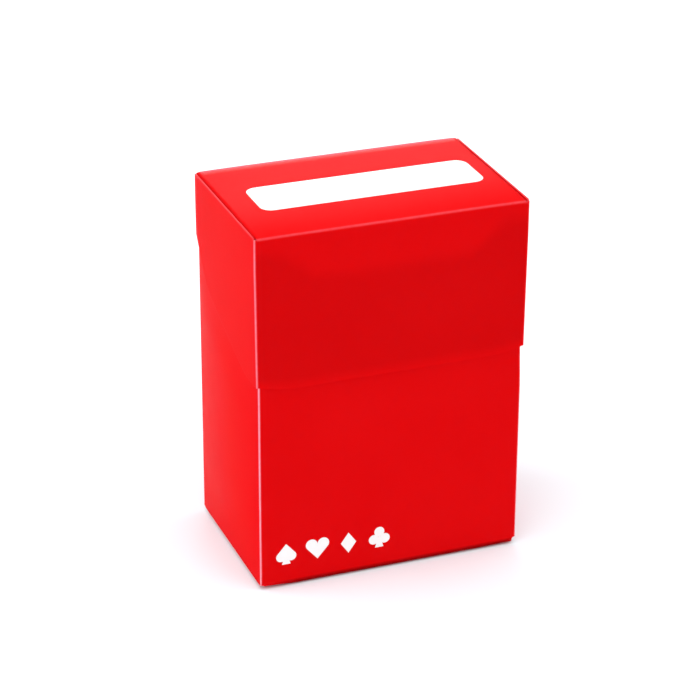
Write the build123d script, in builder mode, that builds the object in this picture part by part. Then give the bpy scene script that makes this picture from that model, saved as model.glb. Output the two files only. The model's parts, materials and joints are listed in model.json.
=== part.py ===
"""Card deck box: one sheet of polypropylene, die-cut, creased and welded into a box with a hinged lid.

Millimetres. +Z is up, -Y is the front, and the origin is the middle of the footprint on the table.
Each panel and flap between two creases is one sub-part and each crease web is another. The lid turns
about the crease along the top of the back wall. A loose divider for the cards stands inside.
"""

import os

from build123d import *

# Sheet and overall size
sheet = 0.4  # thickness of the polypropylene
weld_gap = 0.02  # between two flaps that are welded together
body_width = 70.1  # outside of the side walls
body_depth = 45.6  # outside of the front wall to outside of the back wall
overall_height = 97.0  # table to the top of the lid

# Creases, by their outside radius
corner_radius = 0.6
front_fold_radius = 0.8  # lid top to lid front
tab_fold_radius = 1.0  # lid top to its side tabs
foot_fold_radius = 1.6  # front wall to floor

# Box
notch_top_width = 53.6
notch_bottom_width = 46.6
notch_depth = 7.6
notch_rounding = 2.0
ear_height = 92.8  # top of the front wall, on each side of the notch
wall_top = 95.6  # top of the side walls
shoulder_length = 12.0  # slope from the front wall's ears up to the side walls' top
seam_width = 12.0
seam_slope = 3.0
seam_bottom = 16.0

# Floor
floor_width = 68.0
flap_lift = 0.5  # between a floor flap and the floor under it
flap_end_gap = 0.1  # between the ends of a floor flap and the folds beside them
floor_flap_length = 24.0
floor_flap_taper = 2.5
tuck_height = 14.0
tuck_width = 65.0
tuck_rounding = 6.0

# Lid
lid_front_gap = 0.15  # between the front wall and the lid's front
lid_side_gap = 0.08  # between a side wall and the lid's tab
lid_front_height = 41.1  # lid top to the middle of the lower edge
lid_corner_height = 39.7  # lid top to the lower edge at the upright creases
lid_straight = 48.0  # straight stretch of the front's lower edge
lid_side_drop = 0.3  # lid top to the cut edge along the top of a lid side
lid_side_bend_front = 7.5  # lid front to the bend where a side's lower edge starts to climb
lid_side_bend_rear = (8.8, 28.3)  # back of the box and lid top to the bend where it climbs faster
lid_side_end = (0.9, 16.6)  # back of the box and lid top to the rear end of the lower edge
lid_side_rounding = 12.0
tab_height = 9.5
tab_inset = 1.0  # end of a tab to the front or back of the lid
tab_taper = 2.0

# Living hinge along the top of the back wall
hinge_inset = 0.25  # hinge axis below the lid's top, and inside the back's outer face
hinge_bead_radius = 0.18
hinge_web = 0.2  # thickness of the sheet where it is pressed thin
hinge_clear = 0.5  # full thickness starts this far from the hinge axis
hinge_slit = 0.04  # bead to the thin edge of the lid

# Divider
divider_width = 67.2
divider_height = 90.0
divider_gap = 0.3  # divider to the wall or flap beside it
divider_floor_gap = 0.1
divider_rounding = 1.5
divider_tab_width = 22.0
divider_tab_height = 3.0

# Label and print
label_width = 59.1
label_depth = 15.4
label_rounding = 3.0
label_film = 0.1
label_centre = (1.35, -0.3)
ink = 0.05
pip_height = 5.8
pip_pitch = 8.4
print_left = -31.0
print_bottom = 6.5

# Places worked out from them
half_width = body_width / 2
half_depth = (body_depth + lid_front_gap + sheet) / 2
top = overall_height
back = half_depth
lid_front = -half_depth
front = lid_front + sheet + lid_front_gap
fold_z = top - front_fold_radius

tab_face = half_width + lid_side_gap + sheet
lid_face = tab_face + weld_gap + sheet

flap_bottom = sheet + flap_lift
wall_bottom = flap_bottom + corner_radius
seam_face = back - sheet - weld_gap
tuck_face = seam_face - sheet - weld_gap
floor_front = front + foot_fold_radius
floor_back = tuck_face - corner_radius

hinge_y = back - hinge_inset
hinge_z = top - hinge_inset

divider_back = tuck_face - sheet - divider_gap
divider_bottom = flap_bottom + sheet + divider_floor_gap


def keep(piece, name):
    """Labels a finished sub-part and writes its STEP file."""
    piece.part.label = name
    export_step(piece.part, f"parts/{name}.step")


def keep_pair(right_piece, name):
    """Keeps a right-hand sub-part, and its mirror image on the left."""
    keep(right_piece, f"right_{name}")
    with BuildPart() as left_piece:
        mirror(right_piece.part, about=Plane.YZ)
    keep(left_piece, f"left_{name}")


def crease(centre, facing, along, radius, length):
    """A crease web: sheet folded through 90 degrees, whose arc starts at the side that it is facing."""
    with BuildPart() as web:
        with BuildSketch(Plane(origin=centre, x_dir=facing, z_dir=along)):
            with BuildLine():
                outside = CenterArc((0, 0), radius, 0, 90)
                inside = CenterArc((0, 0), radius - sheet, 0, 90)
                Line(outside @ 0, inside @ 0)
                Line(outside @ 1, inside @ 1)
            make_face()
        extrude(amount=length)
    return web


os.makedirs("parts", exist_ok=True)

# --- Walls of the box ----------------------------------------------------------------------------

with BuildPart() as front_wall:
    with BuildSketch(Plane.XZ.offset(-front)):
        with BuildLine():
            Polyline(
                (0, foot_fold_radius),
                (half_width - corner_radius, foot_fold_radius),
                (half_width - corner_radius, ear_height),
                (notch_top_width / 2, ear_height),
                (notch_bottom_width / 2, ear_height - notch_depth),
                (0, ear_height - notch_depth),
            )
            mirror(about=Plane.YZ)
        make_face()
        notch_corners = vertices().filter_by(
            lambda v: 1 < abs(v.X) < notch_top_width / 2 + 1 and v.Y > overall_height / 2
        )
        fillet(notch_corners, radius=notch_rounding)
    extrude(amount=-sheet)
keep(front_wall, "front_wall")

with BuildPart() as back_wall:
    with BuildSketch(Plane.YZ.offset(-half_width)):
        with BuildLine():
            Polyline(
                (back, flap_bottom),
                (back, hinge_z - hinge_clear),
                (back - sheet, hinge_z - hinge_clear),
                (back - sheet, flap_bottom),
                close=True,
            )
        make_face()
    extrude(amount=body_width - corner_radius)
keep(back_wall, "back_wall")

# The left wall ends short of the right one at the rear, because it turns in under the back wall.
for name, side, rear_end in (("right_wall", 1, back), ("left_wall", -1, seam_face)):
    with BuildPart() as side_wall:
        with BuildSketch(Plane.YZ.offset(side * (half_width - sheet / 2))):
            with BuildLine():
                Polyline(
                    (front + corner_radius, wall_bottom),
                    (rear_end - corner_radius, wall_bottom),
                    (rear_end - corner_radius, wall_top),
                    (front + corner_radius + shoulder_length, wall_top),
                    (front + corner_radius, ear_height),
                    close=True,
                )
            make_face()
        extrude(amount=sheet / 2, both=True)
    keep(side_wall, name)

corner_x = half_width - corner_radius
front_corner = crease(
    (corner_x, front + corner_radius, wall_bottom), (0, -1, 0), (0, 0, 1), corner_radius,
    ear_height - wall_bottom,
)
keep_pair(front_corner, "front_crease")

wall_height = wall_top - wall_bottom
back_corner = crease(
    (corner_x, back - corner_radius, wall_bottom), (1, 0, 0), (0, 0, 1), corner_radius, wall_height
)
keep(back_corner, "right_back_crease")

seam_corner = crease(
    (-corner_x, seam_face - corner_radius, wall_bottom), (0, 1, 0), (0, 0, 1), corner_radius, wall_height
)
keep(seam_corner, "left_back_crease")

with BuildPart() as seam_flap:
    with BuildSketch(Plane.XZ.offset(-seam_face)):
        with BuildLine():
            Polyline(
                (-corner_x, seam_bottom),
                (seam_width - corner_x, seam_bottom + seam_slope),
                (seam_width - corner_x, wall_top - seam_slope),
                (-corner_x, wall_top),
                close=True,
            )
        make_face()
    extrude(amount=sheet)
keep(seam_flap, "seam_flap")

# --- Floor: a panel from the front wall, tucked up inside the back wall, over two flaps ------------

floor_length = floor_back - floor_front
with BuildPart() as floor_panel:
    with BuildSketch():
        with Locations((0, (floor_front + floor_back) / 2)):
            Rectangle(floor_width, floor_length)
    extrude(amount=sheet)
keep(floor_panel, "floor_panel")

floor_fold = crease(
    (-floor_width / 2, floor_front, foot_fold_radius), (0, -1, 0), (1, 0, 0), foot_fold_radius, floor_width
)
keep(floor_fold, "floor_front_crease")

tuck_fold = crease(
    (-tuck_width / 2, floor_back, corner_radius), (0, 0, -1), (1, 0, 0), corner_radius, tuck_width
)
keep(tuck_fold, "tuck_crease")

with BuildPart() as tuck_flap:
    with BuildSketch(Plane.XZ.offset(-tuck_face)):
        with BuildLine():
            Polyline(
                (0, corner_radius),
                (tuck_width / 2, corner_radius),
                (tuck_width / 2, tuck_height),
                (0, tuck_height),
            )
            mirror(about=Plane.YZ)
        make_face()
        fillet(vertices().filter_by(lambda v: abs(v.X) > 1 and v.Y > tuck_height / 2), radius=tuck_rounding)
    extrude(amount=sheet)
keep(tuck_flap, "tuck_flap")

flap_front = floor_front + flap_end_gap
flap_back = floor_back - flap_end_gap
flap_end = corner_x - floor_flap_length
with BuildPart() as floor_flap:
    with BuildSketch(Plane.XY.offset(flap_bottom)):
        with BuildLine():
            Polyline(
                (corner_x, flap_front),
                (corner_x, flap_back),
                (flap_end, flap_back - floor_flap_taper),
                (flap_end, flap_front + floor_flap_taper),
                close=True,
            )
        make_face()
        fillet(vertices().filter_by(lambda v: v.X < half_width / 2), radius=floor_flap_taper)
    extrude(amount=sheet)
keep_pair(floor_flap, "floor_flap")

flap_fold = crease(
    (corner_x, flap_front, wall_bottom), (1, 0, 0), (0, 1, 0), corner_radius, flap_back - flap_front
)
keep_pair(flap_fold, "floor_flap_crease")

# --- Lid -----------------------------------------------------------------------------------------

lid_top_edge = tab_face - tab_fold_radius

# The rear edge of the lid's top is pressed thin where it meets the hinge.
with BuildPart() as lid_top:
    with BuildSketch(Plane.YZ.offset(-lid_top_edge)):
        with BuildLine():
            Polyline(
                (lid_front + front_fold_radius, top),
                (hinge_y - hinge_clear, top),
                (hinge_y - hinge_clear, hinge_z + hinge_web / 2),
                (hinge_y - hinge_bead_radius - hinge_slit, hinge_z + hinge_web / 2),
                (hinge_y - hinge_bead_radius - hinge_slit, hinge_z - hinge_web / 2),
                (hinge_y - hinge_clear, hinge_z - hinge_web / 2),
                (hinge_y - hinge_clear, top - sheet),
                (lid_front + front_fold_radius, top - sheet),
                close=True,
            )
        make_face()
    extrude(amount=2 * lid_top_edge)
keep(lid_top, "lid_top")

with BuildPart() as lid_front_flap:
    with BuildSketch(Plane.XZ.offset(-lid_front)):
        with BuildLine():
            level = Line((0, top - lid_front_height), (lid_straight / 2, top - lid_front_height))
            rise = TangentArc(
                level @ 1, (lid_face - corner_radius, top - lid_corner_height), tangent=level % 1
            )
            Polyline(rise @ 1, (lid_face - corner_radius, fold_z), (0, fold_z))
            mirror(about=Plane.YZ)
        make_face()
    extrude(amount=-sheet)
keep(lid_front_flap, "lid_front")

front_fold = crease(
    (-lid_top_edge, lid_front + front_fold_radius, fold_z), (0, 0, 1), (1, 0, 0), front_fold_radius,
    2 * lid_top_edge,
)
keep(front_fold, "lid_front_crease")

lid_corner = crease(
    (lid_face - corner_radius, lid_front + corner_radius, top - lid_corner_height), (0, -1, 0), (0, 0, 1),
    corner_radius, lid_corner_height - front_fold_radius,
)
keep_pair(lid_corner, "lid_crease")

rear_bend = (back - lid_side_bend_rear[0], top - lid_side_bend_rear[1])
rear_end = (back - lid_side_end[0], top - lid_side_end[1])
with BuildPart() as lid_side:
    with BuildSketch(Plane.YZ.offset(lid_face)):
        with BuildLine():
            Polyline(
                (lid_front + corner_radius, top - lid_corner_height),
                (lid_front + lid_side_bend_front, top - lid_corner_height),
                rear_bend,
                rear_end,
                (rear_end[0], top - lid_side_drop),
                (lid_front + corner_radius, top - lid_side_drop),
                close=True,
            )
        make_face()
        bends = vertices().filter_by(lambda v: lid_front + 1 < v.X < rear_end[0] - 1)
        fillet(bends, radius=lid_side_rounding)
    extrude(amount=-sheet)
keep_pair(lid_side, "lid_side")

tab_front = lid_front + tab_inset
tab_back = back - tab_inset
with BuildPart() as lid_tab:
    with BuildSketch(Plane.YZ.offset(tab_face)):
        with BuildLine():
            Polyline(
                (tab_front, top - tab_fold_radius),
                (tab_back, top - tab_fold_radius),
                (tab_back - tab_taper, top - tab_height),
                (tab_front + tab_taper, top - tab_height),
                close=True,
            )
        make_face()
    extrude(amount=-sheet)
keep_pair(lid_tab, "lid_tab")

tab_fold = crease(
    (lid_top_edge, tab_front, top - tab_fold_radius), (0, 0, 1), (0, 1, 0), tab_fold_radius,
    tab_back - tab_front,
)
keep_pair(tab_fold, "lid_tab_crease")

with BuildPart() as label:
    with BuildSketch(Plane.XY.offset(top)):
        with Locations(label_centre):
            RectangleRounded(label_width, label_depth, label_rounding)
    extrude(amount=label_film)
keep(label, "lid_label")

# --- Living hinge: a bead at the hinge axis, joined to the back wall by the thin web ---------------

with BuildPart() as hinge:
    with BuildSketch(Plane.YZ.offset(-lid_top_edge)):
        with Locations((hinge_y, hinge_z)):
            Circle(hinge_bead_radius)
        with Locations((hinge_y, hinge_z - hinge_clear / 2)):
            Rectangle(hinge_web, hinge_clear)
    extrude(amount=2 * lid_top_edge)
keep(hinge, "lid_hinge_web")

# --- Divider -------------------------------------------------------------------------------------

with BuildPart() as divider:
    with BuildSketch(Plane.XZ.offset(-divider_back)):
        with Locations((0, divider_bottom)):
            Rectangle(divider_width, divider_height, align=(Align.CENTER, Align.MIN))
            Rectangle(
                divider_tab_width, divider_height + divider_tab_height, align=(Align.CENTER, Align.MIN)
            )
        outer_corners = vertices().filter_by(
            lambda v: v.Y > overall_height / 2 and (abs(v.X) > half_width / 2 or v.Y > divider_height + 2)
        )
        fillet(outer_corners, radius=divider_rounding)
    extrude(amount=sheet)
keep(divider, "card_divider")


# --- Print on the front wall: the four card suits --------------------------------------------------

def heart(height):
    """Heart outline, point down, centred on the origin."""
    lobe = height * 0.27
    with BuildSketch() as outline:
        with BuildLine():
            arch = CenterArc((lobe, height * 0.22), lobe, 180, -221)
            Polyline(arch @ 1, (0, -height / 2), arch @ 0)
        make_face()
        mirror(about=Plane.YZ)
    return outline.sketch


def diamond(height):
    """Rhombus, centred on the origin."""
    with BuildSketch() as outline:
        with BuildLine():
            Polyline(
                (0, -height / 2), (height * 0.36, 0), (0, height / 2), (-height * 0.36, 0), close=True
            )
        make_face()
    return outline.sketch


def stem(height):
    """Flared foot under a spade or a club, which also fills a club's middle."""
    with BuildSketch() as outline:
        with BuildLine():
            Polyline(
                (0, height * 0.15), (height * 0.2, -height / 2), (-height * 0.2, -height / 2), close=True
            )
        make_face()
    return outline.sketch


def spade(height):
    """Upside-down heart on a stem, centred on the origin."""
    with BuildSketch() as outline:
        with Locations((0, height * 0.07)):
            add(heart(height * 0.86), rotation=180)
        add(stem(height))
    return outline.sketch


def club(height):
    """Three round leaves on a stem, centred on the origin."""
    leaf = height * 0.235
    with BuildSketch() as outline:
        with Locations((0, height / 2 - leaf), (-leaf * 1.1, -leaf * 0.4), (leaf * 1.1, -leaf * 0.4)):
            Circle(leaf)
        add(stem(height))
    return outline.sketch


with BuildPart() as suits:
    for place, suit in enumerate((spade, heart, diamond, club)):
        pip_centre = (print_left + pip_height / 2 + place * pip_pitch, front, print_bottom + pip_height / 2)
        with BuildSketch(Plane(origin=pip_centre, x_dir=(1, 0, 0), z_dir=(0, -1, 0))):
            add(suit(pip_height))
        extrude(amount=ink)
keep(suits, "front_print")
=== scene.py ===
import json
from math import cos, pi, radians, sin, sqrt, tan

import bmesh
import bpy
from mathutils import Matrix, Vector


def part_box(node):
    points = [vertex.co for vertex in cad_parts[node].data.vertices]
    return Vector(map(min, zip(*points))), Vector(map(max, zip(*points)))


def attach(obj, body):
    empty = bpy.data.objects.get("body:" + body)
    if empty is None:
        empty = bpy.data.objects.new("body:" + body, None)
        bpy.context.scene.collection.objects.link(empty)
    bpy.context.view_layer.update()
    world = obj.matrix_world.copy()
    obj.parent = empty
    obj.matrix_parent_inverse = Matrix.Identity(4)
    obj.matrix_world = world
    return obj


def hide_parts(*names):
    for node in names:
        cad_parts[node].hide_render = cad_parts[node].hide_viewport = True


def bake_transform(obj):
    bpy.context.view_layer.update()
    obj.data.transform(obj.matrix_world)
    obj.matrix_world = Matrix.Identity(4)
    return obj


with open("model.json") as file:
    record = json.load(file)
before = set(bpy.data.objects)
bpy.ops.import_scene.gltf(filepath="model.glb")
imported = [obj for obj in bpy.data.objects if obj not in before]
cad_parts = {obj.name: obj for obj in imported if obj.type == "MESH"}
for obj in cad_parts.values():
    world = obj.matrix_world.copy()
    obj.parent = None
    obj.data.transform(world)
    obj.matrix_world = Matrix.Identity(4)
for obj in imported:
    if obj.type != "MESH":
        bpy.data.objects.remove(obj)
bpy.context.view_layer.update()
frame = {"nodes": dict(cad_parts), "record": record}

MM = 0.001

# --- Places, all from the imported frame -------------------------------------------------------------

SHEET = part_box("lid_front")[1].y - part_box("lid_front")[0].y
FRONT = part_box("front_wall")[0].y
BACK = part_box("back_wall")[1].y
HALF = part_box("right_wall")[1].x
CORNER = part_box("right_front_crease")[1].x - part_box("right_front_crease")[0].x
LEFT_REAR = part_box("left_back_crease")[1].y
WALL_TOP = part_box("right_wall")[1].z
WALL_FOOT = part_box("right_wall")[0].z
EAR_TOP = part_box("front_wall")[1].z
FLOOR_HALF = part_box("floor_panel")[1].x
FOOT_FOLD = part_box("floor_front_crease")[1].z
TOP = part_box("lid_top")[1].z
LID_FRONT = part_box("lid_front")[0].y
LID_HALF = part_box("right_lid_side")[1].x
LID_SIDE_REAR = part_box("right_lid_side")[1].y
LID_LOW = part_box("lid_front")[0].z
LID_CORNER_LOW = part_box("right_lid_crease")[0].z
LID_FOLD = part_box("lid_front_crease")[1].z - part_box("lid_front_crease")[0].z
TAB_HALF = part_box("right_lid_tab")[1].x
TAB_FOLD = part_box("right_lid_tab_crease")[1].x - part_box("right_lid_tab_crease")[0].x
TAB_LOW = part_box("right_lid_tab")[0].z

# --- Mesh helpers ------------------------------------------------------------------------------------

STEP = 2.0 * MM  # spacing of the panels' grid
ARC_STEPS = 8  # steps round a fold's quarter turn
ARC = [pi / 2 * i / ARC_STEPS for i in range(ARC_STEPS + 1)]
FINE_STEP = 0.2 * MM  # spacing beside a fold
SIDEWAYS, UPWARDS = 0.9, 0.95  # least share of a normal along X or Z on a face that counts as such
SAME_POINT = 0.002 * MM  # points closer than this are joined
CUT_ROUND = 0.07 * MM  # rounding of the sheet's cut edges


def spread(start, end, step, *knots):
    """Values from start to end, about a step apart, that pass through the knots between them."""
    low, high = min(start, end), max(start, end)
    stops = [start] + sorted((k for k in knots if low < k < high), reverse=start > end) + [end]
    values = [start]
    for a, b in zip(stops, stops[1:]):
        count = max(1, round(abs(b - a) / step))
        values += [a + (b - a) * i / count for i in range(1, count + 1)]
    return values


def smooth(value, low, high):
    """0 below low, 1 above high, and an even curve between."""
    t = min(1, max(0, (value - low) / (high - low)))
    return t * t * (3 - 2 * t)


def fillet_height(x, corners):
    """Height at x of a line through corners, given as (x, height, radius), with its corners rounded."""
    for (xa, ya, _), (xb, yb, radius), (xc, yc, _) in zip(corners, corners[1:], corners[2:]):
        into = Vector((xa - xb, ya - yb)).normalized()
        out = Vector((xc - xb, yc - yb)).normalized()
        half_turn = into.angle(out) / 2
        if radius <= 0 or half_turn > pi / 2 - 0.001:
            continue
        reach = radius / tan(half_turn)
        start, end = xb + into.x * reach, xb + out.x * reach
        if start < x < end:
            centre = Vector((xb, yb)) + (into + out).normalized() * radius / sin(half_turn)
            rise = sqrt(max(0, radius * radius - (x - centre.x) ** 2))
            return centre.y + (rise if yb > centre.y else -rise)
    for (xa, ya, _), (xb, yb, _) in zip(corners, corners[1:]):
        if xa <= x <= xb:
            return ya + (yb - ya) * (x - xa) / (xb - xa)
    return corners[0][1] if x < corners[0][0] else corners[-1][1]


class Sheet:
    """One folded sheet: patches of its outer face that share edges, then given a thickness."""

    def __init__(self, name):
        self.name = name
        self.bm = bmesh.new()
        # whitening of the creases, which also carries their painted highlight
        self.white = self.bm.verts.layers.float.new("crease")
        # painted shade: how much darker the colour is painted at each point
        self.painted_shade = self.bm.verts.layers.float.new("painted_shade")

    def patch(self, rows, flip=False):
        """Faces over rows of (point, whiteness) or (point, whiteness, painted shade there)."""
        grid = []
        for row in rows:
            grid.append([])
            for point, whiteness, *painted_shades in row:
                vert = self.bm.verts.new(point)
                vert[self.white] = whiteness
                vert[self.painted_shade] = painted_shades[0] if painted_shades else 0
                grid[-1].append(vert)
        for upper, lower in zip(grid, grid[1:]):
            for i in range(len(upper) - 1):
                corners = [upper[i], lower[i], lower[i + 1], upper[i + 1]]
                self.bm.faces.new(corners[::-1] if flip else corners)

    def finish(self, face, edge, thickness=SHEET, cut=CUT_ROUND):
        """The finished object: thickness added inwards, cut edges eased, materials on face and edge."""
        bmesh.ops.remove_doubles(self.bm, verts=self.bm.verts, dist=SAME_POINT)
        mesh = bpy.data.meshes.new(self.name)
        self.bm.to_mesh(mesh)
        self.bm.free()
        piece = bpy.data.objects.new(self.name, mesh)
        bpy.context.scene.collection.objects.link(piece)
        mesh.materials.append(face)
        mesh.materials.append(edge)
        solid = piece.modifiers.new("solid", "SOLIDIFY")
        solid.thickness = thickness
        solid.offset = -1
        solid.material_offset_rim = 1
        ease = piece.modifiers.new("ease", "BEVEL")
        ease.width = cut
        ease.segments = 2
        ease.limit_method = "ANGLE"
        ease.angle_limit = radians(60)
        ease.use_clamp_overlap = True
        apply(piece)
        return piece


def apply(piece):
    """Makes the modifiers part of the mesh, and shades it smooth up to its cut edges."""
    bpy.context.view_layer.update()
    evaluated = piece.evaluated_get(bpy.context.evaluated_depsgraph_get())
    mesh = bpy.data.meshes.new_from_object(evaluated)
    piece.modifiers.clear()
    piece.data = mesh
    for polygon in mesh.polygons:
        polygon.use_smooth = True
    mesh.set_sharp_from_angle(angle=radians(50))


def turn_shading(piece, turn):
    """Turns the shading of a piece along Y by turn(place, normal), as on a face that is more curved."""
    mesh = piece.data
    normals = []
    for loop, normal in zip(mesh.loops, mesh.corner_normals):
        turned = normal.vector.copy()
        turned.y += turn(mesh.vertices[loop.vertex_index].co, turned)
        normals.append(turned.normalized())
    mesh.normals_split_custom_set(normals)


# --- Materials ---------------------------------------------------------------------------------------


class Nodes:
    """Short calls for a material's node tree."""

    def __init__(self, name):
        self.material = bpy.data.materials.new(name)
        self.material.use_nodes = True
        self.tree = self.material.node_tree
        self.shader = self.tree.nodes["Principled BSDF"]
        self.coords = self.add("ShaderNodeTexCoord").outputs["Object"]

    def add(self, kind, **values):
        node = self.tree.nodes.new(kind)
        for key, value in values.items():
            setattr(node, key, value)
        return node

    def feed(self, socket, value):
        """A number or colour is set on the socket itself, and an output is linked to it."""
        if isinstance(value, tuple):
            socket.default_value = value + (1.0,) if len(socket.default_value) == 4 else value
        elif isinstance(value, (int, float)):
            socket.default_value = value
        else:
            self.tree.links.new(value, socket)

    def feed_all(self, node, **values):
        """Feeds a node's sockets by name, with underscores for spaces."""
        for key, value in values.items():
            self.feed(node.inputs[key.replace("_", " ")], value)

    def noise(self, scale, detail=2.0, roughness=0.5):
        node = self.add("ShaderNodeTexNoise")
        self.feed_all(node, Scale=scale, Detail=detail, Roughness=roughness, Vector=self.coords)
        return node.outputs["Fac"]

    def remap(self, value, low, high, to_low=0.0, to_high=1.0):
        node = self.add("ShaderNodeMapRange")
        self.feed_all(node, From_Min=low, From_Max=high, To_Min=to_low, To_Max=to_high, Value=value)
        return node.outputs["Result"]

    def math(self, operation, a, b):
        node = self.add("ShaderNodeMath", operation=operation)
        self.feed(node.inputs[0], a)
        self.feed(node.inputs[1], b)
        return node.outputs[0]

    def mix(self, factor, a, b):
        """Colour between a and b."""
        node = self.add("ShaderNodeMix", data_type="RGBA")
        for name, kind, value in (("Factor", "VALUE", factor), ("A", "RGBA", a), ("B", "RGBA", b)):
            self.feed(next(s for s in node.inputs if s.name == name and s.type == kind), value)
        return next(s for s in node.outputs if s.type == "RGBA")

    def bump(self, height, strength, distance, under=None):
        node = self.add("ShaderNodeBump")
        self.feed_all(node, Strength=strength, Distance=distance, Height=height)
        if under:
            self.feed(node.inputs["Normal"], under)
        return node.outputs["Normal"]

    def set(self, **values):
        """Feeds the shader's own sockets."""
        self.feed_all(self.shader, **values)


RED = (0.70, 0.0030, 0.0045)
DEEP_RED = (0.685, 0.0026, 0.0040)
# colour of whitened creases, which also stands in for their highlight
STRESS_WHITE_AND_HIGHLIGHT = (0.97, 0.50, 0.60)
# colour that painted shade is mixed towards
SHADE_BLACK = (0.0, 0.0, 0.0)
CUT_WHITENESS = 0.08  # least whitening of a cut edge


def polypropylene(name, cut_edge=False):
    """Semi-matte red sheet: fine grain, faint flow marks, rub marks, painted shade where a piece asks for it,
    and whitening along the creases that also stands in for their highlight.
    """
    n = Nodes(name)
    flow = n.remap(n.noise(45, 3), 0.35, 0.65)
    colour = n.mix(flow, DEEP_RED, RED)
    # painted shade: the colour taken towards black by the piece's per-point value
    painted_shade = n.add("ShaderNodeAttribute", attribute_name="painted_shade").outputs["Fac"]
    colour = n.mix(painted_shade, colour, SHADE_BLACK)
    # crease whitening, which also stands in for the creases' highlight
    crease = n.add("ShaderNodeAttribute", attribute_name="crease").outputs["Fac"]
    broken = n.remap(n.noise(900, 3), 0.25, 0.7, 0.75, 1.0)
    whitening_and_highlight = n.math("MULTIPLY", crease, broken)
    if cut_edge:
        whitening_and_highlight = n.math("MAXIMUM", whitening_and_highlight, CUT_WHITENESS)
    colour = n.mix(whitening_and_highlight, colour, STRESS_WHITE_AND_HIGHLIGHT)
    grain = n.noise(5200, 2, 0.6)
    rubs = n.noise(160, 5, 0.65)
    roughness = n.remap(rubs, 0.3, 0.7, 0.30, 0.36)
    relief = n.bump(grain, 0.25, 0.02 * MM)
    relief = n.bump(n.noise(60, 2), 0.15, 0.2 * MM, relief)
    n.set(Base_Color=colour, Roughness=roughness, Normal=relief, IOR=1.49, Specular_IOR_Level=0.005)
    n.set(Subsurface_Weight=1.0, Subsurface_Radius=(1.0, 0.1, 0.1), Subsurface_Scale=0.8 * MM)
    return n.material


def film(name, white, roughness):
    """White ink or label film: near-white, with faint mottling and a slight orange peel."""
    n = Nodes(name)
    mottle = n.remap(n.noise(700, 4), 0.3, 0.7)
    colour = n.mix(mottle, tuple(c * 0.97 for c in white), white)
    gloss = n.remap(n.noise(300, 3), 0.3, 0.7, roughness - 0.04, roughness + 0.04)
    relief = n.bump(n.noise(2600, 3), 0.2, 0.01 * MM)
    n.set(Base_Color=colour, Roughness=gloss, Normal=relief, Specular_IOR_Level=0.4)
    return n.material


FACE = polypropylene("sheet_face")
EDGE = polypropylene("sheet_cut_edge", cut_edge=True)
LABEL = film("label_film", (0.93, 0.93, 0.93), 0.45)
INK = film("print_ink", (0.90, 0.88, 0.88), 0.5)

# --- Box -----------------------------------------------------------------------------------------------

ROWS = spread(0, 1, 1 / 44, 0.005, 0.012, 0.995)  # places of an upright column's points, from its top down
CREASE_KNOTS = (0.12 * MM, 0.5 * MM)  # rows beside a crease, so that its whitening stays narrow
FOOT_KNOTS = (0.12 * MM, 0.5 * MM, 1.0 * MM)  # rows where a wall's lower edge rises

SHOULDER = 12 * MM  # length of the slope from the front wall's ears up to the side walls' top
NOTCH_LOW = (23.3 * MM, EAR_TOP - 7.6 * MM)  # corners of the thumb notch, at its bottom and at its top
NOTCH_HIGH = (26.8 * MM, EAR_TOP)
NOTCH_ROUND = 2 * MM
NOTCH_KNOTS = [d * MM for d in (-1.6, -1.2, -0.8, -0.4, 0, 0.4, 0.8, 1.2)]  # columns round a notch corner

SIDE_BULGE = 0.85 * MM  # swell of the side walls
SWELL_FOOT = 25 * MM  # it grows over this height above the table
SWELL_HEAD = 10 * MM  # and ends over this height below the lid's tabs
UNDER_LID = 0.55  # share of it that the lid's edge holds back
UNDER_LID_RUN = 14 * MM  # over this height below that edge
SIDE_TURN = 0.107  # turn of the side walls' shading from front to back
SIDE_TURN_CENTRE = 0.34  # the place along the depth where it is none
RIGHT_FLARE = 0.3 * MM  # the right wall stands this much further out below the lid
FLARE_RUN = 12 * MM  # over which it gets there

FOOT_LIFT = 0.5 * MM  # the right front crease ends this much above the rest of the walls
FOLD_RISE = (0.9 * MM, 0.3 * MM)  # height of the foot's fold above the table at its left and right ends
FOLD_RISE_RUN = 10 * MM  # along the fold
FLOOR_RISE_RUN = 8 * MM  # and back along the floor
FOOT_SHADE = 0.65  # how much darker the foot's fold is painted, as painted shade where it faces down to the table
FOOT_SHADE_RUN = (12 * MM, 2 * MM)  # how gradually that starts at its left and right ends

WHITE_LEFT_FRONT, WHITE_RIGHT_FRONT = 0.8, 0.45  # how white each fold is, where it is whitest: stress whitening with a painted highlight
WHITE_LEFT_BACK, WHITE_RIGHT_BACK = 0.3, 0.5
WHITE_TUCK, WHITE_FLOOR_FLAP = 0.4, 0.2

SEAM_SLIT = 0.1 * MM  # between the back wall's free edge and the left side
SEAM_SLOPE = 3 * MM  # slant of the seam flap's ends
TUCK_ROUND = 6 * MM  # corners of the tuck flap
FLAP_TAPER = 2.5 * MM  # slant of the floor flaps' ends


def depth_share(y):
    """-1 at the front of the box, 0 in its middle, 1 at its back."""
    return (y - (FRONT + BACK) / 2) / ((BACK - FRONT) / 2)


def front_top(x):
    """Top edge of the front wall, with the thumb notch."""
    bends = ((*NOTCH_LOW, NOTCH_ROUND), (*NOTCH_HIGH, NOTCH_ROUND))
    return fillet_height(abs(x), ((0, NOTCH_LOW[1], 0), *bends, (HALF, EAR_TOP, 0)))


def side_top(y):
    """Top edge of a side wall, which slopes down to the front wall's ears."""
    return min(WALL_TOP, EAR_TOP + (WALL_TOP - EAR_TOP) * (y - FRONT - CORNER) / SHOULDER)


def foot_shade(x):
    """Painted shade on the foot's fold, where it faces down into its contact shadow: less towards its two
    ends.
    """
    return FOOT_SHADE * smooth(HALF - abs(x), 0, FOOT_SHADE_RUN[x > 0])


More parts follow.
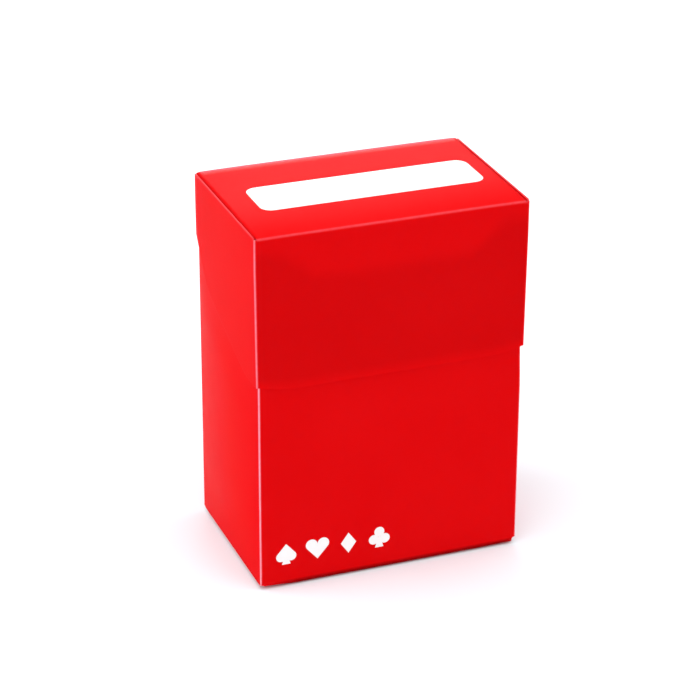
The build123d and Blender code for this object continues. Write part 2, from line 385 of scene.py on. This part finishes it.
def fold_rise(x):
    """Height of the floor above the table just behind the foot's fold, which is tighter at its ends."""
    return FOLD_RISE[x > 0] * (1 - smooth(FLOOR_HALF - abs(x), 0, FOLD_RISE_RUN))


def right_foot(y):
    """Lower edge of the right wall, which rises at its front corner."""
    return WALL_FOOT + FOOT_LIFT * (1 - smooth(y, FRONT + CORNER, FRONT + CORNER + FOOT_KNOTS[-1]))


def front_foot(x):
    """Where the front wall ends: at the foot's fold, and beyond its ends at the side walls' lower edges."""
    if abs(x) <= FLOOR_HALF:
        return FOOT_FOLD
    return WALL_FOOT if x < 0 else right_foot(FRONT)


def right_flare(place):
    """How far the box's right half spreads below the lid."""
    below = 1 - smooth(place.z, LID_CORNER_LOW - FLARE_RUN, LID_CORNER_LOW)
    return RIGHT_FLARE * max(0, place.x / HALF) * below


def side_bulge(y, z):
    """Outward swell of a side wall: none at its foot and under the tabs, and less near the lid's edge."""
    across = max(0, 1 - depth_share(y) ** 2)
    held = 1 - UNDER_LID * smooth(z, side_low(y) - UNDER_LID_RUN, side_low(y))
    ends = smooth(z, 0, SWELL_FOOT) * (1 - smooth(z, TAB_LOW - SWELL_HEAD, TAB_LOW))
    return SIDE_BULGE * across * held * ends


def left_bulge(y, z):
    return -side_bulge(y, z)


def right_bulge(y, z):
    """The right wall's swell, less what its flare adds."""
    return (1 - RIGHT_FLARE / SIDE_BULGE) * side_bulge(y, z)


def turn_box_side(place, normal):
    """The box's sides swell more than the frame leaves room for, mostly near their front creases."""
    outside = abs(place.x) > HALF - 0.05 * MM and abs(normal.x) > SIDEWAYS and place.x * normal.x > 0
    return SIDE_TURN * (depth_share(place.y) - SIDE_TURN_CENTRE) if outside else 0


def column(x, y, low, high, white, push=None):
    """One upright row of a wall's grid, from its top edge down, pushed along X by push(y, z)."""
    points = []
    for down in ROWS:
        z = high + (low - high) * down
        points.append((Vector((x + push(y, z) if push else x, y, z)), white))
    return points


def whitening(i):
    """How white a crease is at step i round its arc, whitening and painted highlight together: most in the
    middle.
    """
    return sin(pi * i / ARC_STEPS) ** 3


def upright_arc(centre_x, centre_y, start_deg, low, high, white):
    """Columns round an upright crease, its two ends included."""
    columns = []
    for i, turn in enumerate(ARC):
        angle = radians(start_deg) + turn
        x, y = centre_x + CORNER * cos(angle), centre_y + CORNER * sin(angle)
        columns.append(column(x, y, low, high, white * whitening(i)))
    return columns


def box_walls(xs):
    """Columns all the way round the box, from the left back crease to the back wall's free edge."""
    left, right = -HALF + CORNER, HALF - CORNER
    front = FRONT + CORNER
    knots = [front + SHOULDER] + [front + knot for knot in FOOT_KNOTS]

    columns = upright_arc(left, LEFT_REAR - CORNER, 90, WALL_FOOT, WALL_TOP, WHITE_LEFT_BACK)
    rear = LEFT_REAR - CORNER
    for y in spread(rear, front, STEP, rear - CREASE_KNOTS[0], *knots):
        columns.append(column(-HALF, y, WALL_FOOT, side_top(y), 0, left_bulge))
    columns += upright_arc(left, front, 180, WALL_FOOT, EAR_TOP, WHITE_LEFT_FRONT)
    for x in xs:
        wall = column(x, FRONT, front_foot(x), front_top(x), 0)
        # painted shade: the wall's lowest row takes half of the fold's
        wall[-1] += (foot_shade(x) / 2,)
        columns.append(wall)
    columns += upright_arc(right, front, 270, right_foot(FRONT), EAR_TOP, WHITE_RIGHT_FRONT)
    rear = BACK - CORNER
    for y in spread(front, rear, STEP, rear - CREASE_KNOTS[0], *knots):
        columns.append(column(HALF, y, right_foot(y), side_top(y), 0, right_bulge))
    columns += upright_arc(right, rear, 0, WALL_FOOT, WALL_TOP, WHITE_RIGHT_BACK)
    for x in spread(right, -HALF + SEAM_SLIT, STEP, right - CREASE_KNOTS[0]):
        columns.append(column(x, BACK, WALL_FOOT, WALL_TOP, 0))
    return columns


def seam_flap():
    """Columns of the flap that closes the sheet into a tube, inside the back wall."""
    low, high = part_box("seam_flap")
    columns = []
    for x in spread(high.x, low.x, STEP):
        slant = SEAM_SLOPE * (x - low.x) / (high.x - low.x)
        columns.append(column(x, high.y, low.z + slant, high.z - slant, 0))
    return columns


def floor_strip(x):
    """Points from the front wall's foot round the fold, along the floor and up the tuck flap."""
    floor_low, floor_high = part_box("floor_panel")
    tuck_low, tuck_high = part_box("tuck_flap")
    tuck_radius = tuck_low.z
    tuck_steps = 7
    row = []
    rise = fold_rise(x)
    radius = FOOT_FOLD - rise
    for angle in ARC:
        point = Vector((x, FRONT + radius * (1 - cos(angle)), FOOT_FOLD - radius * sin(angle)))
        # painted shade round the fold: half at the wall, full further round, none where it rests on the table
        inside = 0.5 + 0.5 * smooth(angle, 0, 0.4) - smooth(angle, 0.8, 1.3)
        row.append((point, 0, foot_shade(x) * inside))
    for y in spread(floor_low.y, floor_high.y, STEP)[1:]:
        row.append((Vector((x, y, rise * (1 - smooth(y - floor_low.y, 0, FLOOR_RISE_RUN)))), 0))
    for i, angle in enumerate(ARC[1:], 1):
        y, z = floor_high.y + tuck_radius * sin(angle), tuck_radius * (1 - cos(angle))
        row.append((Vector((x, y, z)), WHITE_TUCK * whitening(i)))
    rounded = TUCK_ROUND * smooth(abs(x), tuck_high.x - TUCK_ROUND, tuck_high.x) ** 2
    height = tuck_high.z - tuck_radius - rounded
    for i in range(1, tuck_steps + 1):
        row.append((Vector((x, tuck_high.y, tuck_radius + height * i / tuck_steps)), 0))
    return row


def floor_flap(name, side):
    """Rows of a floor flap, from the side wall's foot round the fold and inwards."""
    low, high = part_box(name)
    radius = WALL_FOOT - low.z
    fold_end = side * (HALF - radius)
    inner = low.x if side > 0 else high.x
    flat_steps = 11
    rows = []
    for y in spread(low.y, high.y, STEP):
        row = []
        for i, angle in enumerate(ARC):
            place = Vector((side * (HALF - radius * (1 - cos(angle))), y, WALL_FOOT - radius * sin(angle)))
            row.append((place, WHITE_FLOOR_FLAP * whitening(i)))
        end = inner + side * FLAP_TAPER * (1 - smooth(min(y - low.y, high.y - y), 0, FLAP_TAPER))
        for i in range(1, flat_steps + 1):
            row.append((Vector((fold_end + (end - fold_end) * i / flat_steps, y, low.z)), 0))
        rows.append(row)
    return rows


def box_shell():
    """Walls, creases, seam flap and floor of the box, as the one sheet they are."""
    sheet = Sheet("box_shell")
    edge = HALF - CORNER
    notch = [s * (x + knot) for s in (-1, 1) for x in (NOTCH_LOW[0], NOTCH_HIGH[0]) for knot in NOTCH_KNOTS]
    ends = (-edge + CREASE_KNOTS[0], -FLOOR_HALF, FLOOR_HALF, edge - CREASE_KNOTS[0])
    xs = spread(-edge, edge, STEP, *ends, *notch)
    sheet.patch(box_walls(xs), flip=True)
    sheet.patch(seam_flap(), flip=True)
    sheet.patch([floor_strip(x) for x in xs if abs(x) <= FLOOR_HALF], flip=True)
    sheet.patch(floor_flap("right_floor_flap", 1), flip=True)
    sheet.patch(floor_flap("left_floor_flap", -1))
    for vert in sheet.bm.verts:
        vert.co.x += right_flare(vert.co)
    piece = sheet.finish(FACE, EDGE)
    turn_shading(piece, turn_box_side)
    return piece


# --- Lid -----------------------------------------------------------------------------------------------

TOP_HALF = TAB_HALF - TAB_FOLD  # half the width of the lid's flat top
TOP_FRONT = LID_FRONT + LID_FOLD  # its front edge
REAR_STRIP = 1.5 * MM  # the hinge strip takes over this far from the rear top corner
TOP_REAR = BACK - REAR_STRIP
FRONT_DROP = 0.25 * MM  # the lid's top is this much lower at its front fold than in its middle
SIDE_DROP = 0.1 * MM  # and this much at its side folds

FOLD_EAR = 0.5 * MM  # the front fold reaches this far past the flat top at each end
CREST = 0.6  # beyond it, the cut edge meets the fold at this share of the fold's height
SIDE_EDGE_DROP = 0.3 * MM  # lid top to the cut edge along the top of a lid side
LID_LEAN = 0.009  # the lid's sides close in by this much per unit of height below the tabs
LID_BULGE = 0.3 * MM  # swell of the lid's sides, where their lean leaves room for it
FRONT_STRAIGHT = 24 * MM  # half the straight stretch of the front's lower edge
SIDE_BEND_FRONT = 7.5 * MM  # lid front to the bend where a side's lower edge starts to climb
SIDE_BEND_REAR = (8.8 * MM, 28.3 * MM)  # back and lid top to the bend where it climbs faster
SIDE_END = 16.6 * MM  # lid top to its rear end
SIDE_ROUND = 12 * MM  # rounding of its bends
LID_SIDE_REACH = 0.3 * MM  # the lid's sides stay within this of their widest place
LID_SIDE_TURN = 0.038  # turn of the lid sides' shading at their middle; twice this at their front
LID_TOP_TURN = 0.09  # turn of the top's shading at its front

DOUBLE_SHADE = 0.11  # how much darker the lid's front is painted where the box's front wall backs it: painted shade for the light that two layers keep out
DOUBLE_BLUR = 3 * MM  # how softly that painted shade fades
TAB_SHADE = 0.2  # how much darker the tab folds are painted, as painted shade deep in the grooves beside the top
FRONT_GROOVE = 2.5  # times as much painted shade at the front end of a groove
GROOVE_RUN = 3 * MM  # which fades over this length
TAB_FOLD_LOSS = 0.6  # share of the tab fold's height that is lost at the rear of the lid
TAB_FOLD_RUN = (12 * MM, 1 * MM)  # between these distances from the back
TAB_REAR = (0.6 * MM, 1.0 * MM)  # rows of the tab behind the flat top, from the back
TAB_TAPER = 2 * MM  # slant of the tab's ends
TAB_LEAST = 0.15  # share of the tab's height that is left at its ends
WHITE_FOLD = 0.14  # along the lid's front fold: stress whitening with a painted highlight
# the lid's upright creases: stress whitening with a painted highlight
WHITE_LEFT_LID, WHITE_RIGHT_LID = 0.5, 0.1
WHITE_FLAP = 0.05  # painted highlight along the top edges of the lid's sides


def lid_half(z):
    """Half the lid's outside width at a height."""
    return LID_HALF - LID_LEAN * max(0, TAB_LOW - z)


def lid_bulge(y, z):
    """Outward swell of a lid side, between its upright crease, its rear edge and the tab behind its top."""
    across = max(0, 1 - ((y - (LID_FRONT + BACK) / 2) / ((BACK - LID_FRONT) / 2)) ** 2)
    return across * min(LID_HALF - lid_half(z), LID_BULGE)


def crown(x, y):
    """Height of the lid's top at a point."""
    aside = min(1, abs(x) / TOP_HALF)
    forward = min(1, max(0, -depth_share(y)))
    return TOP - SIDE_DROP * aside**6 - FRONT_DROP * forward**2.5


def front_low(x):
    """Lower edge of the lid's front: straight in the middle, then an arc up to each crease."""
    run = LID_HALF - CORNER - FRONT_STRAIGHT
    rise = LID_CORNER_LOW - LID_LOW
    radius = (run * run + rise * rise) / (2 * rise)
    over = min(run, max(0, abs(x) - FRONT_STRAIGHT))
    return LID_LOW + radius - sqrt(radius * radius - over * over)


def side_low(y):
    """Lower edge of a lid side: level at the front, then climbing to the back."""
    back, down = SIDE_BEND_REAR
    corners = (
        (LID_FRONT, LID_CORNER_LOW, 0),
        (LID_FRONT + SIDE_BEND_FRONT, LID_CORNER_LOW, SIDE_ROUND),
        (BACK - back, TOP - down, SIDE_ROUND),
        (LID_SIDE_REAR, TOP - SIDE_END, 0),
    )
    return fillet_height(y, corners)


def turn_lid(place, normal):
    """The lid's sides and top roll off towards the front."""
    share = depth_share(place.y)
    if abs(place.x) > LID_HALF - LID_SIDE_REACH and abs(normal.x) > SIDEWAYS:
        return LID_SIDE_TURN * (share - 1)
    if normal.z > UPWARDS and place.z > TOP - FRONT_DROP - 0.2 * MM:
        return -LID_TOP_TURN * min(0, share) ** 2
    return 0


def double_shade_share(x, z):
    """How much painted shade the lid's front has, over the box's front wall and none above its notch, fading
    out at the lid's lower edge.
    """
    wall = (front_top(x - DOUBLE_BLUR) + front_top(x) + front_top(x + DOUBLE_BLUR)) / 3
    low = front_low(x)
    return (1 - smooth(z, wall - DOUBLE_BLUR, wall + 2 * MM)) * smooth(z, low, low + DOUBLE_BLUR)


def lid_fold(fold_xs):
    """Rows round the fold between the lid's top and its front."""
    rows = []
    for i, angle in enumerate(ARC):
        row = []
        for x in fold_xs:
            height = crown(x, TOP_FRONT) - LID_FOLD * (1 - cos(angle))
            row.append((Vector((x, TOP_FRONT - LID_FOLD * sin(angle), height)), WHITE_FOLD * whitening(i)))
        rows.append(row)
    return rows


def lid_front(fold_xs, crest):
    """Columns of the lid's front, below the fold and on to the upright creases."""
    wide = LID_HALF - CORNER
    ends = spread(fold_xs[-1], wide, FINE_STEP)[1:]
    tops = [(-x, crest) for x in reversed(ends)]
    tops += [(x, crown(x, TOP_FRONT) - LID_FOLD) for x in fold_xs] + [(x, crest) for x in ends]
    columns = []
    for x, high in tops:
        low = front_low(x)
        points = []
        for down in ROWS:
            z = high + (low - high) * down
            lean = (lid_half(z) - LID_HALF) * x / wide
            points.append((Vector((x + lean, LID_FRONT, z)), 0, DOUBLE_SHADE * double_shade_share(x, z)))
        columns.append(points)
    return columns


def lid_side(side, crest):
    """Columns of an upright crease and of the lid side behind it."""
    columns = []
    white = WHITE_LEFT_LID if side < 0 else WHITE_RIGHT_LID
    for i, angle in enumerate(ARC):
        points = []
        y = LID_FRONT + CORNER * (1 - cos(angle))
        for down in ROWS:
            z = crest + (LID_CORNER_LOW - crest) * down
            x = lid_half(z) - CORNER * (1 - sin(angle))
            points.append((Vector((side * x, y, z)), white * whitening(i)))
        columns.append(points)
    start = LID_FRONT + CORNER
    level = start + CREASE_KNOTS[1]
    for y in spread(start, LID_SIDE_REAR, STEP, start + CREASE_KNOTS[0], level):
        high = crest + (TOP - SIDE_EDGE_DROP - crest) * smooth(y, start, level)
        points = []
        for down in ROWS:
            z = high + (side_low(y) - high) * down
            x = lid_half(z) + lid_bulge(y, z)
            points.append((Vector((side * x, y, z)), WHITE_FLAP * (1 - smooth(high - z, 0, 0.5 * MM))))
        columns.append(points)
    return columns


def lid_tab(side, ys):
    """Rows of the tab that folds down beside the lid's top, inside the lid's side."""
    rows = []
    flat_steps = 5
    tab_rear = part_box("right_lid_tab")[1].y
    for y in [BACK - gap for gap in TAB_REAR] + ys:
        here = crown(side * TOP_HALF, min(y, TOP_REAR))
        # painted shade in the groove beside the top, most at its front end
        groove_shade = TAB_SHADE * (FRONT_GROOVE - (FRONT_GROOVE - 1) * smooth(y - TOP_FRONT, 0, GROOVE_RUN))
        fold = TAB_FOLD * (1 - TAB_FOLD_LOSS * smooth(y, *(BACK - gap for gap in TAB_FOLD_RUN)))
        row = []
        for angle in ARC:
            point = Vector((side * (TOP_HALF + TAB_FOLD * sin(angle)), y, here - fold * (1 - cos(angle))))
            row.append((point, 0, groove_shade * smooth(angle, 0.25, 0.8)))
        taper = smooth(min(y - TOP_FRONT, tab_rear - y), 0, TAB_TAPER)
        bend = here - fold
        low = bend - (bend - TAB_LOW) * max(TAB_LEAST, taper)
        for i in range(1, flat_steps + 1):
            row.append((Vector((side * TAB_HALF, y, bend + (low - bend) * i / flat_steps)), 0))
        rows.append(row)
    return rows


def lid_shell():
    """Top, front, sides and side tabs of the lid, as the one sheet they are."""
    sheet = Sheet("lid_shell")
    xs = spread(-TOP_HALF, TOP_HALF, STEP, -TOP_HALF + CREASE_KNOTS[0], TOP_HALF - CREASE_KNOTS[0])
    ys = spread(TOP_REAR, TOP_FRONT, STEP, TOP_FRONT + CREASE_KNOTS[0])
    sheet.patch([[(Vector((x, y, crown(x, y))), 0) for x in xs] for y in ys])
    fold_xs = [-TOP_HALF - FOLD_EAR] + xs + [TOP_HALF + FOLD_EAR]
    sheet.patch(lid_fold(fold_xs))
    crest = crown(fold_xs[0], TOP_FRONT) - LID_FOLD + CREST * LID_FOLD
    sheet.patch(lid_front(fold_xs, crest), flip=True)
    for side in (-1, 1):
        sheet.patch(lid_side(side, crest), flip=side > 0)
        sheet.patch(lid_tab(side, ys), flip=side < 0)
    piece = sheet.finish(FACE, EDGE)
    turn_shading(piece, turn_lid)
    return piece


# --- Hinge, label and divider -----------------------------------------------------------------------------

HINGE_ROUND = 0.5 * MM  # outside radius of the pressed hinge
WHITE_HINGE, WHITE_BESIDE_HINGE = 0.4, 0.2
LABEL_ROUND = 3 * MM  # corners of the label
LABEL_FILM = 0.05 * MM  # its thickness
DIVIDER_ROUND = 1.5 * MM  # top corners of the divider
DIVIDER_TAB = 3 * MM  # height of its tab
DIVIDER_TAB_SLOPE = (10.6 * MM, 11.4 * MM)  # the tab's upright edges lie between these, from the middle


def hinge_strip():
    """The pressed living hinge, from the back wall over the rear edge to the lid's top."""
    sheet = Sheet("hinge_strip")
    wall_steps = 6
    rows = []
    for x in spread(-TOP_HALF, TOP_HALF, STEP):
        high = crown(x, TOP_REAR)
        bend = high - HINGE_ROUND
        path = []
        for i in range(wall_steps + 1):
            path.append((BACK, WALL_TOP + (bend - WALL_TOP) * i / wall_steps, WHITE_BESIDE_HINGE))
        for angle in ARC[1:]:
            y, z = BACK - HINGE_ROUND * (1 - cos(angle)), bend + HINGE_ROUND * sin(angle)
            path.append((y, z, WHITE_HINGE))
        path += [(y, high, WHITE_BESIDE_HINGE) for y in spread(BACK - HINGE_ROUND, TOP_REAR, FINE_STEP)[1:]]
        rows.append([(Vector((x, y, z)), white) for y, z, white in path])
    sheet.patch(rows, flip=True)
    return sheet.finish(FACE, EDGE)


def label():
    """White label, laid over the lid's crown."""
    low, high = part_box("lid_label")
    centre = (low + high) / 2
    half_x, half_y = (high.x - low.x) / 2, (high.y - low.y) / 2
    across_steps = 12
    sheet = Sheet("label")
    rows = []
    turn = [half_x - LABEL_ROUND * (1 - sin(angle)) for angle in ARC]
    for x in sorted(set([-x for x in turn] + turn + spread(-turn[0], turn[0], STEP))):
        over = max(0, abs(x) - (half_x - LABEL_ROUND))
        reach = half_y - LABEL_ROUND + sqrt(max(0, LABEL_ROUND**2 - over**2))
        row = []
        for i in range(across_steps + 1):
            y = centre.y + reach * (1 - 2 * i / across_steps)
            row.append((Vector((centre.x + x, y, crown(centre.x + x, y) + LABEL_FILM)), 0))
        rows.append(row)
    sheet.patch(rows, flip=True)
    return sheet.finish(LABEL, LABEL, thickness=LABEL_FILM, cut=0.015 * MM)


def divider():
    """The loose divider, with rounded top corners and a tab."""
    low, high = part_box("card_divider")
    sheet = Sheet("divider")
    half = high.x
    inner, outer = DIVIDER_TAB_SLOPE
    middle = (inner + outer) / 2
    columns = []
    for x in spread(-half, half, STEP, -outer, -middle, -inner, inner, middle, outer):
        over = max(0, abs(x) - half + DIVIDER_ROUND) / DIVIDER_ROUND
        rounded = DIVIDER_ROUND * (1 - sqrt(max(0, 1 - over**2)))
        tab = DIVIDER_TAB * (1 - smooth(abs(x), inner, outer))
        columns.append(column(x, low.y, low.z, high.z - DIVIDER_TAB - rounded + tab, 0))
    sheet.patch(columns, flip=True)
    return sheet.finish(FACE, EDGE)


BODIES = frame["record"]["behaviour"]["bodies"]
BOX_NODES = [node for node in BODIES["box"] if node not in ("lid_hinge_web", "front_print")]
LID_NODES = [node for node in BODIES["lid"] if node != "lid_label"]

shell = box_shell()
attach(shell, "box")
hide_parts(*BOX_NODES)

cap = lid_shell()
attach(cap, "lid")
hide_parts(*LID_NODES)

strip = hinge_strip()
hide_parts("lid_hinge_web")
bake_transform(strip)

tag = label()
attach(tag, "lid")
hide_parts("lid_label")

card = divider()
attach(card, "divider")
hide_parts("card_divider")

frame["nodes"]["front_print"].data.materials.clear()
frame["nodes"]["front_print"].data.materials.append(INK)

# --- Floor, light and camera ---------------------------------------------------------------------------


def direction(azimuth, elevation):
    """Unit vector away from the box: azimuth from its front towards its right, in radians."""
    return Vector((sin(azimuth) * cos(elevation), -cos(azimuth) * cos(elevation), sin(elevation)))


def floor():
    bpy.ops.mesh.primitive_plane_add(size=6)
    plane = bpy.context.object
    plane.name = "floor"
    n = Nodes("floor_paper")
    n.set(Base_Color=(0.865, 0.95, 0.99), Roughness=0.9, Specular_IOR_Level=0.0)
    plane.data.materials.append(n.material)


def lamp(name, azimuth, elevation, distance, size, watts):
    """A square soft light, aimed at the middle of the box."""
    light = bpy.data.lights.new(name, "AREA")
    light.size = size
    light.energy = watts
    holder = bpy.data.objects.new(name, light)
    bpy.context.scene.collection.objects.link(holder)
    away = direction(radians(azimuth), radians(elevation))
    holder.location = Vector((0, 0, TOP / 2)) + away * distance
    holder.rotation_euler = away.to_track_quat("Z", "Y").to_euler()


def studio():
    """A white surround, a little brighter in front of the box than behind it, and three soft lamps."""
    world = bpy.data.worlds.new("studio")
    bpy.context.scene.world = world
    world.use_nodes = True
    tree = world.node_tree
    facing = tree.nodes.new("ShaderNodeTexCoord")
    parts = tree.nodes.new("ShaderNodeSeparateXYZ")
    tree.links.new(facing.outputs["Generated"], parts.inputs["Vector"])
    depth = tree.nodes.new("ShaderNodeMapRange")
    for key, number in (("From Min", -1), ("From Max", 1), ("To Min", 0.85), ("To Max", 0.7)):
        depth.inputs[key].default_value = number
    tree.links.new(parts.outputs["Y"], depth.inputs["Value"])
    tree.links.new(depth.outputs["Result"], tree.nodes["Background"].inputs["Strength"])
    tree.nodes["Background"].inputs["Color"].default_value = (1, 1, 1, 1)
    lamp("key", azimuth=-110, elevation=25, distance=0.9, size=0.6, watts=2.5)
    lamp("overhead", azimuth=-10, elevation=70, distance=1.0, size=1.2, watts=7)
    lamp("rear", azimuth=163, elevation=13, distance=0.9, size=0.33, watts=2.0)
    bpy.context.scene.view_settings.view_transform = "Standard"


def camera():
    """The photograph's view: a long lens, to the left of the front and above it."""
    azimuth, elevation, roll = radians(-21.084), radians(25.37), radians(0.278)
    distance, aside, above, lens = 0.6870, -0.00219, 0.00272, 137.87
    back = direction(azimuth, elevation)
    right = Vector((cos(azimuth), sin(azimuth), 0))
    up = back.cross(right)
    middle = Vector((0, (FRONT + BACK) / 2, TOP / 2))
    data = bpy.data.cameras.new("camera")
    data.lens = lens
    view = bpy.data.objects.new("camera", data)
    bpy.context.scene.collection.objects.link(view)
    across = right * cos(roll) + up * sin(roll)
    upward = up * cos(roll) - right * sin(roll)
    turned = Matrix((across, upward, back)).transposed().to_4x4()
    turned.translation = middle + back * distance + right * aside + up * above
    view.matrix_world = turned
    bpy.context.scene.camera = view


floor()
studio()
camera()
